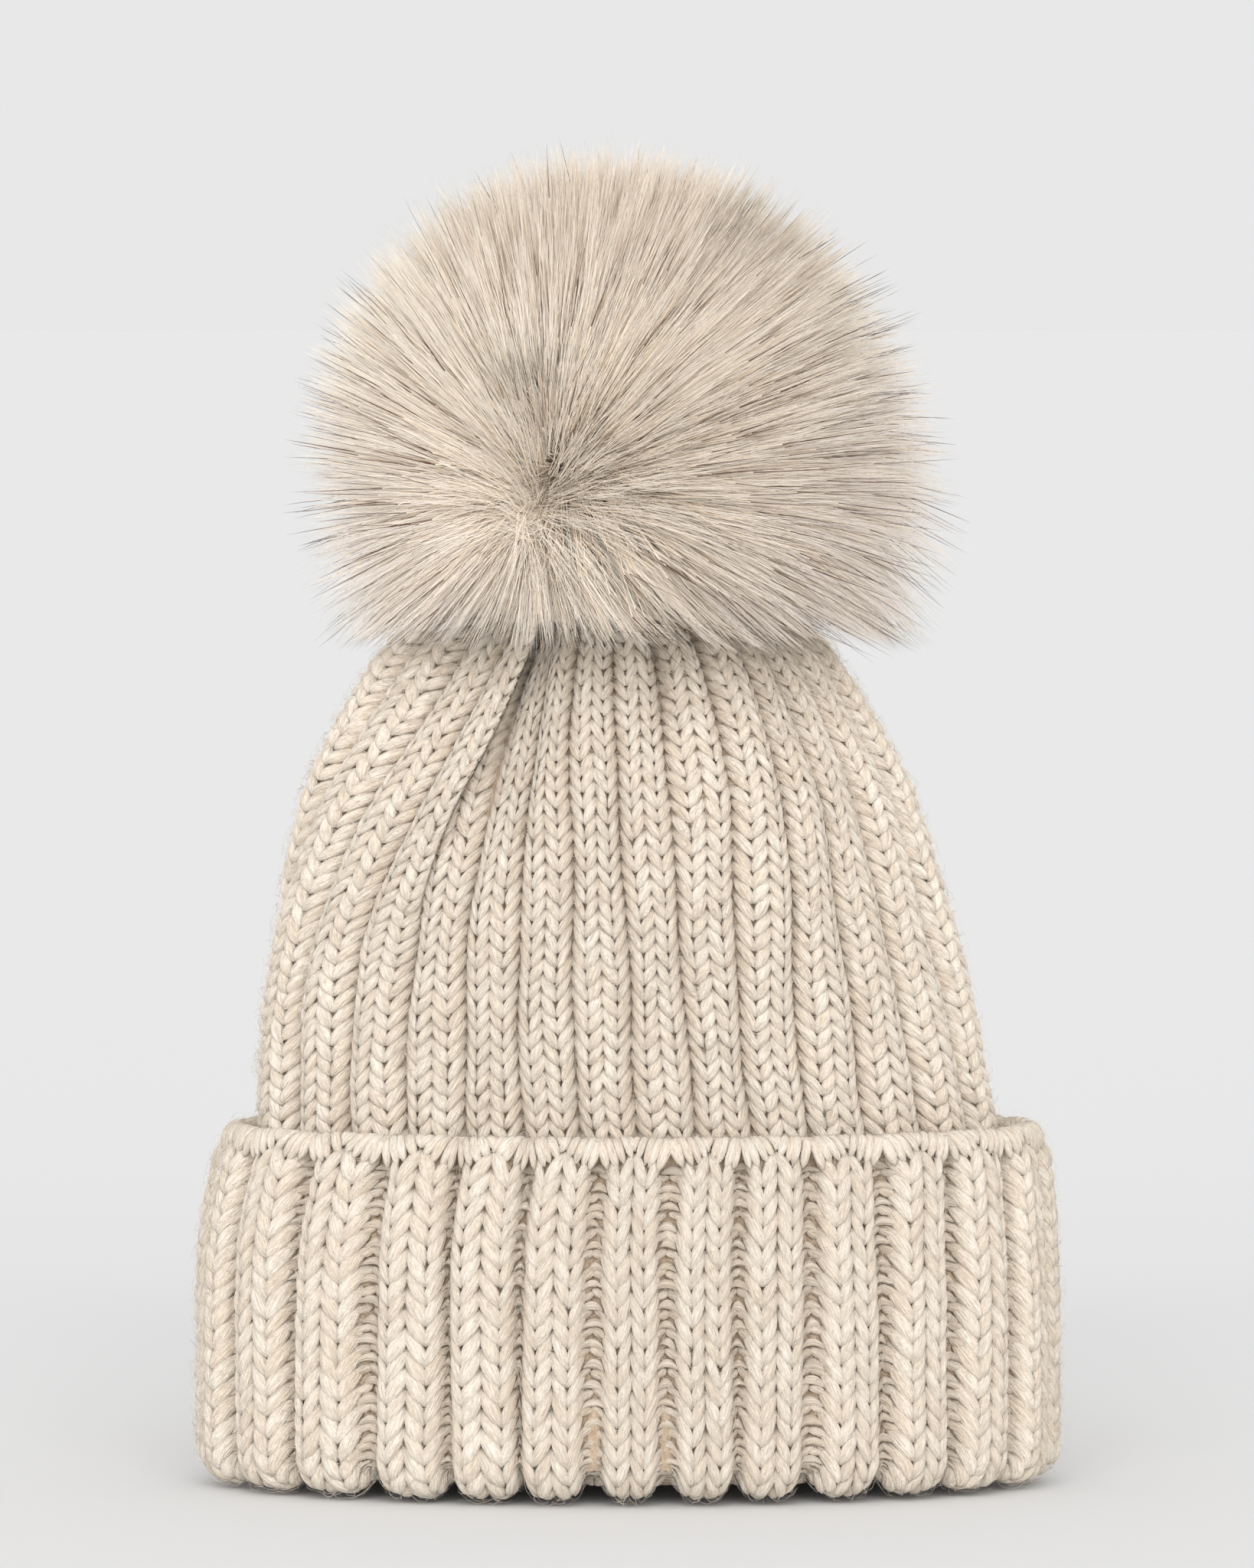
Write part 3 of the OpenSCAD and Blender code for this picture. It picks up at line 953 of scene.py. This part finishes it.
def fur_material(name, colour, roughness, sheen):
    """Silky pile: soft, with a sheen, and a gloss that varies along the hairs."""
    material, shader = principled(name, srgb(colour), roughness, sheen, 0.35, 0.35)
    spot = add_node(material, "ShaderNodeTexCoord")
    scales = add_node(material, "ShaderNodeTexNoise", Scale=900.0, Detail=3.0)
    link(material, spot.outputs["Object"], scales.inputs["Vector"])
    gloss = add_node(material, "ShaderNodeMapRange")
    gloss.inputs["To Min"].default_value = roughness - 0.15
    gloss.inputs["To Max"].default_value = roughness + 0.15
    link(material, scales.outputs["Fac"], gloss.inputs["Value"])
    link(material, gloss.outputs["Result"], shader.inputs["Roughness"])
    bump = add_node(material, "ShaderNodeBump", Strength=0.3)
    bump.inputs["Distance"].default_value = 0.0002
    link(material, scales.outputs["Fac"], bump.inputs["Height"])
    link(material, bump.outputs["Normal"], shader.inputs["Normal"])
    return material


FUR = [
    # The roots are a deeper beige: partly the fur's own root colour, partly painted shade that
    # warms the shadows deep in the pile.
    fur_material("fur_root_and_painted_shade", "#EAD6B9", 0.75, 0.1),
    fur_material("fur_mid", "#FFF1DE", 0.6, 0.2),
    fur_material("fur_light", "#FFF7E9", 0.5, 0.3),
    fur_material("fur_warm", "#F9E5CC", 0.6, 0.2),
    fur_material("fur_tip", "#F8EEE1", 0.45, 0.3),
    fur_material("fur_mauve", "#F5EBE6", 0.55, 0.2),
    fur_material("fur_guard", "#5E4434", 0.45, 0.1),
    # A greyer beige for the tips on top of the ball, which darkens its top: painted shade.
    fur_material("fur_top_painted_shade", "#E4D6C5", 0.55, 0.1),
]
ROOT_AND_SHADE, MID, LIGHT, WARM, TIP, MAUVE, GUARD, TOP_PAINTED_SHADE = range(8)
FUR_RINGS = 5
HAIRS_PER_PIECE = 195000 // ((FUR_RINGS - 1) * 6 + 6)


def fur_shades(count, end_dir):
    """A shade for each stretch of each strand, from root to tip."""
    kind = random.choice([MID, LIGHT, WARM], count, p=[0.38, 0.44, 0.18])
    shade = np.empty((count, FUR_RINGS - 1), int)
    shade[:, 0] = ROOT_AND_SHADE
    shade[:, 1] = np.where(kind == WARM, ROOT_AND_SHADE, MID)
    shade[:, 2:] = kind[:, None]
    shade[:, -1] = np.where(random.uniform(size=count) < 0.5, TIP, shade[:, -1])
    right = smoothstep(0.55, 0.95, end_dir[:, 0] - 0.35 * np.abs(end_dir[:, 2] + 0.15))
    low_right = smoothstep(0.35, 0.8, end_dir[:, 0] - end_dir[:, 2] * 0.9 - 0.2)
    low_left = smoothstep(0.75, 1.1, -end_dir[:, 0] - end_dir[:, 2] * 0.9)
    chance = np.maximum(np.maximum(right, low_right) * 0.4, low_left * 0.35)
    dusky = random.uniform(size=count) < chance
    shade[dusky, -1] = MAUVE
    # Tips towards the top take the greyer beige, and some of the stretch below them too: painted
    # shade that darkens the top of the ball.
    top_shade_chance = smoothstep(0.3, 0.8, end_dir[:, 2])
    shade[random.uniform(size=count) < top_shade_chance * 0.85, -1] = TOP_PAINTED_SHADE
    shade[random.uniform(size=count) < top_shade_chance * 0.5, -2] = TOP_PAINTED_SHADE
    return shade


def build_fur():
    line, end_dir, _ = fur_lines(
        FUR_COUNT,
        clumps=2600,
        rings=FUR_RINGS,
        inner_share=0.66,
        full_share=1.03,
        comb=0.8,
        clumping=0.26,
    )
    shade = fur_shades(FUR_COUNT, end_dir)
    radius = random.uniform(0.085, 0.155, FUR_COUNT)
    order = random.permutation(FUR_COUNT)
    count = math.ceil(FUR_COUNT / HAIRS_PER_PIECE)
    taper = np.array([1.2, 1.1, 1.0, 0.75, 0.3])
    for k, part in enumerate(np.array_split(order, count)):
        piece = build_hairs(
            f"fur_strands_{k + 1}",
            line[part],
            radius[part],
            3,
            "pom_ball",
            FUR,
            shade[part],
            taper,
        )
    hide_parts("fur_pile")


def build_guard_hairs():
    """Sparse dark hairs that stand a little proud of the pile."""
    count = 4200
    line, end_dir, angle = fur_lines(
        count,
        clumps=900,
        rings=FUR_RINGS,
        inner_share=0.96,
        full_share=1.04,
        comb=0.8,
        clumping=0.1,
    )
    shade = np.full((count, FUR_RINGS - 1), MID)
    edge = smoothstep(0.3, 0.9, np.abs(end_dir[:, 0] + 0.1) - 0.5 * end_dir[:, 2])
    front = smoothstep(0.2, 0.8, -end_dir[:, 1])
    keep = random.uniform(size=count) < 0.05 + 0.5 * edge + 0.16 * front
    keep &= angle > 0.4
    shade[:, -1] = GUARD
    line = CORE_CENTRE + (line - CORE_CENTRE) * (1 + 0.055 * front[:, None, None])
    line, shade = line[keep], shade[keep]
    bold = random.uniform(size=len(line)) < 0.15
    radius = random.uniform(0.08, 0.12, len(line)) + 0.06 * bold
    taper = np.array([0.7, 0.7, 0.9, 1.1, 0.5])
    build_hairs("fur_guard_hairs", line, radius, 3, "pom_ball", FUR, shade, taper)


def sphere_directions(rows, columns, margin):
    """Directions in rows from the top pole down, the first and last an angle margin off it."""
    phi = np.linspace(margin, math.pi - margin, rows)
    theta = np.arange(columns) / columns * TAU
    pp, tt = np.meshgrid(phi, theta, indexing="ij")
    d = [np.sin(pp) * np.cos(tt), np.sin(pp) * np.sin(tt), np.cos(pp)]
    return np.stack(d, -1).reshape(-1, 3)


def sphere_faces(rows, columns):
    bottom = ((rows - 1) * columns + np.arange(columns))[None]
    return [grid_faces(rows, columns)[:, ::-1], bottom, np.arange(columns)[None, ::-1]]


def build_undercoat():
    """A dense woolly mass under the strands, so that no gap shows the backing."""
    rows, columns = 60, 96
    d = sphere_directions(rows, columns, 0.02)
    angle = np.arccos(np.clip(d @ WHORL, -1, 1))
    reach = outline_reach(d) * (0.64 - 0.2 * hump(angle, 0, 0.4))
    q = CORE_CENTRE + d * reach[:, None] * (1 + random.normal(0, 0.012, (len(d), 1)))
    r = np.hypot(q[:, 0], q[:, 1])
    low = BASE_CLEARANCE + 1.5 + (CROWN_TOP + 8.0 - BASE_CLEARANCE - 1.5) * smoothstep(24, 34, r)
    q[:, 2] = np.maximum(q[:, 2], low)
    faces = sphere_faces(rows, columns)
    # The mass takes the root beige: partly the fur's own colour, partly painted shade deep in the
    # pile.
    mesh_piece("fur_undercoat", q, faces, "pom_ball", [FUR[ROOT_AND_SHADE]])


FUR_COUNT = 80000


# ---------------------------------------------------------------- hidden parts


def textured(name, colour, dark, roughness, grain, stretch, relief, metallic=0.0, sheen=0.0):
    """A material with a grain of the given size in millimetres in colour, gloss and relief."""
    material, shader = principled(name, srgb(colour), roughness, sheen, 0.5, 0.5)
    shader.inputs["Metallic"].default_value = metallic
    spot = add_node(material, "ShaderNodeTexCoord")
    shape = add_node(material, "ShaderNodeMapping")
    shape.inputs["Scale"].default_value = stretch
    link(material, spot.outputs["Object"], shape.inputs["Vector"])
    noise = add_node(material, "ShaderNodeTexNoise", Scale=1 / (grain * MM), Detail=3.0)
    link(material, shape.outputs["Vector"], noise.inputs["Vector"])
    ramp = add_node(material, "ShaderNodeValToRGB")
    ramp.color_ramp.elements[0].position = 0.35
    ramp.color_ramp.elements[0].color = (*srgb(dark), 1)
    ramp.color_ramp.elements[1].position = 0.65
    ramp.color_ramp.elements[1].color = (*srgb(colour), 1)
    link(material, noise.outputs["Fac"], ramp.inputs["Fac"])
    link(material, ramp.outputs["Color"], shader.inputs["Base Color"])
    gloss = add_node(material, "ShaderNodeMapRange")
    gloss.inputs["To Min"].default_value = roughness * 0.8
    gloss.inputs["To Max"].default_value = min(roughness * 1.2, 1.0)
    link(material, noise.outputs["Fac"], gloss.inputs["Value"])
    link(material, gloss.outputs["Result"], shader.inputs["Roughness"])
    bump = add_node(material, "ShaderNodeBump", Strength=0.6)
    bump.inputs["Distance"].default_value = relief * MM
    link(material, noise.outputs["Fac"], bump.inputs["Height"])
    link(material, bump.outputs["Normal"], shader.inputs["Normal"])
    return material


thread = textured("cotton_thread", "#E9DDC9", "#C9B79C", 0.85, 0.35, (1, 1, 0.4), 0.15, sheen=0.2)
felt = textured("wool_felt", "#E3D6C2", "#C8B79E", 0.95, 0.5, (1, 1, 1), 0.25, sheen=0.4)
steel = textured("brushed_steel", "#C9CBCD", "#A9ABAE", 0.3, 0.2, (8, 1, 1), 0.01, metallic=1.0)
satin = textured("satin_tape", "#F4F1EA", "#E2DDD2", 0.4, 0.25, (6, 1, 1), 0.03, sheen=0.3)
backing = textured("fur_backing", "#E2D2BA", "#BFA98B", 0.9, 0.9, (1, 1, 1), 0.4, sheen=0.2)
filling = textured("fibre_filling", "#F5F2EB", "#DAD3C6", 0.95, 1.6, (1, 1, 0.3), 0.8, sheen=0.3)

NODE_MATERIALS = {
    "body_seam_thread": thread,
    "cuff_seam_thread": thread,
    "crown_gather_thread": thread,
    "crown_knot": thread,
    "label_stitches": thread,
    "pom_base_stitches": thread,
    "pom_gather_thread": thread,
    "crown_washer": felt,
    "pom_base_disc": felt,
    "snap_stud": steel,
    "stud_cap": steel,
    "snap_socket": steel,
    "socket_spring": steel,
    "socket_cap": steel,
    "pom_backing": backing,
}


def finish_nodes():
    """Better materials for the CAD nodes that stay."""
    for name, material in NODE_MATERIALS.items():
        for place in bpy.data.objects[name].material_slots:
            place.material = material


def stuffed_core():
    """The ball of filling inside the fur's backing, with the lumps that hand filling leaves."""
    rows, columns = 40, 64
    d = sphere_directions(rows, columns, 0.03)
    lumps = np.sin(d[:, 0] * 9 + 1) * np.sin(d[:, 1] * 8 + 2) * np.sin(d[:, 2] * 10)
    radius = (core_high[2] - core_low[2]) / 2 - 1.0 + 0.8 * lumps
    points = CORE_CENTRE + d * radius[:, None]
    faces = sphere_faces(rows, columns)
    ball = mesh_piece("pom_filling", points, faces, "pom_ball", [filling])
    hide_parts("pom_core")


def folded_label():
    """The care label: a satin tape folded in half, with its fold hanging free."""
    low, high = node_size("care_label")
    radius = (high[1] - low[1]) / 2 - 0.15
    middle = (high[1] + low[1]) / 2
    turn = np.linspace(0, math.pi, 13)
    straight = np.linspace(high[2], low[2] + radius, 16)[:-1]
    y = np.concatenate([middle + radius + straight * 0, middle + radius * np.cos(turn)])
    y = np.concatenate([y, middle - radius + straight * 0])
    z = np.concatenate([straight, low[2] + radius - radius * np.sin(turn), straight[::-1]])
    path = np.stack([y, z], -1)
    along = np.gradient(path, axis=0)
    along /= np.linalg.norm(along, axis=1, keepdims=True)
    out = np.stack([-along[:, 1], along[:, 0]], -1) * 0.11
    x = np.linspace(low[0], high[0], 13)
    sides = []
    for edge in (path + out, path - out):
        wave = 0.12 * np.sin(x[None] / 5) * np.ones((len(path), 1))
        side = [
            np.broadcast_to(x[None], wave.shape), edge[:, :1] + wave, edge[:, 1:] + 0 * wave
        ]
        sides.append(np.stack(side, -1))
    ring = np.concatenate([sides[0], sides[1][:, ::-1]], 1)
    faces = grid_faces(len(path), ring.shape[1])
    count = ring.shape[1]
    start = np.arange(count)[None, ::-1]
    end = ((len(path) - 1) * count + np.arange(count))[None]
    label = mesh_piece(
        "care_label_tape", ring.reshape(-1, 3), [faces, start, end], "hat", [satin]
    )
    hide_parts("care_label")


# ---------------------------------------------------------------- scene


def make_camera():
    centre = Vector((0, 0, 176.6 * MM))
    elevation = math.radians(3)
    distance = 2.4
    place = centre + Vector((0, -math.cos(elevation), math.sin(elevation))) * distance
    data = bpy.data.cameras.new("camera")
    data.sensor_fit = "VERTICAL"
    data.sensor_height = 36
    data.lens = 36 * distance / 0.3949
    data.clip_start, data.clip_end = 0.05, 200
    camera = bpy.data.objects.new("camera", data)
    camera.location = place
    camera.rotation_euler = (centre - place).to_track_quat("-Z", "Y").to_euler()
    bpy.context.scene.collection.objects.link(camera)
    bpy.context.scene.camera = camera


def sun(name, direction, strength, softness):
    data = bpy.data.lights.new(name, "SUN")
    data.energy = strength
    data.angle = math.radians(softness)
    light = bpy.data.objects.new(name, data)
    light.rotation_euler = Vector(direction).to_track_quat("-Z", "Y").to_euler()
    bpy.context.scene.collection.objects.link(light)


BACKDROP = 0.807
SKY, SKY_OVERHEAD = 1.6, 0.55
KEY, KEY_DIRECTION = 2.38, (0.02, 0.95, -0.3)


def make_light():
    """A white studio, dimmer overhead. Behind the hat the camera sees the floor's own grey."""
    world = bpy.data.worlds.new("studio")
    world.use_nodes = True
    nodes, links = world.node_tree.nodes, world.node_tree.links
    seen, glow = nodes["Background"], nodes.new("ShaderNodeBackground")
    seen.inputs["Color"].default_value = (BACKDROP, BACKDROP, BACKDROP, 1)
    glow.inputs["Color"].default_value = (1, 1, 1, 1)
    path, mix = nodes.new("ShaderNodeLightPath"), nodes.new("ShaderNodeMixShader")
    way, height = nodes.new("ShaderNodeTexCoord"), nodes.new("ShaderNodeSeparateXYZ")
    fall = nodes.new("ShaderNodeMapRange")
    fall.inputs["To Min"].default_value = SKY
    fall.inputs["To Max"].default_value = SKY_OVERHEAD
    links.new(way.outputs["Generated"], height.inputs[0])
    links.new(height.outputs["Z"], fall.inputs["Value"])
    links.new(fall.outputs["Result"], glow.inputs["Strength"])
    links.new(path.outputs["Is Camera Ray"], mix.inputs["Fac"])
    links.new(glow.outputs[0], mix.inputs[1])
    links.new(seen.outputs[0], mix.inputs[2])
    links.new(mix.outputs[0], nodes["World Output"].inputs["Surface"])
    bpy.context.scene.world = world
    sun("key", KEY_DIRECTION, KEY, 60)
    bpy.context.scene.view_settings.view_transform = "Standard"


def make_floor():
    mesh = bpy.data.meshes.new("floor")
    half = 60.0
    low = cad_low[2] - 0.0005
    mesh.from_pydata(
        [(-half, -half, low), (half, -half, low), (half, half, low), (-half, half, low)],
        [],
        [(0, 1, 2, 3)],
    )
    floor = bpy.data.objects.new("floor", mesh)
    steepness = -Vector(KEY_DIRECTION).normalized().z
    sky = SKY + (SKY_OVERHEAD - SKY) * 2 / 3
    grey = BACKDROP / (sky + KEY * steepness / math.pi)
    material, shader = principled("floor_paper", (grey, grey, grey), 1.0, 0, 0.5, 0.0)
    mesh.materials.append(material)
    bpy.context.scene.collection.objects.link(floor)


make_camera()
make_light()
make_floor()
crown_knit()
cuff_knit()
purl_bumps()
cast_on_edge()
crown_wall()
cuff_wall()
for k in range(2):
    fuzz(crown, f"crown_fuzz_{k + 1}", "hat", 85, crown.length - 36, 7500)
    fuzz(cuff, f"cuff_fuzz_{k + 1}", "cuff", 12, cuff.length - 20, 5000)
build_fur()
build_guard_hairs()
build_undercoat()
finish_nodes()
stuffed_core()
folded_label()
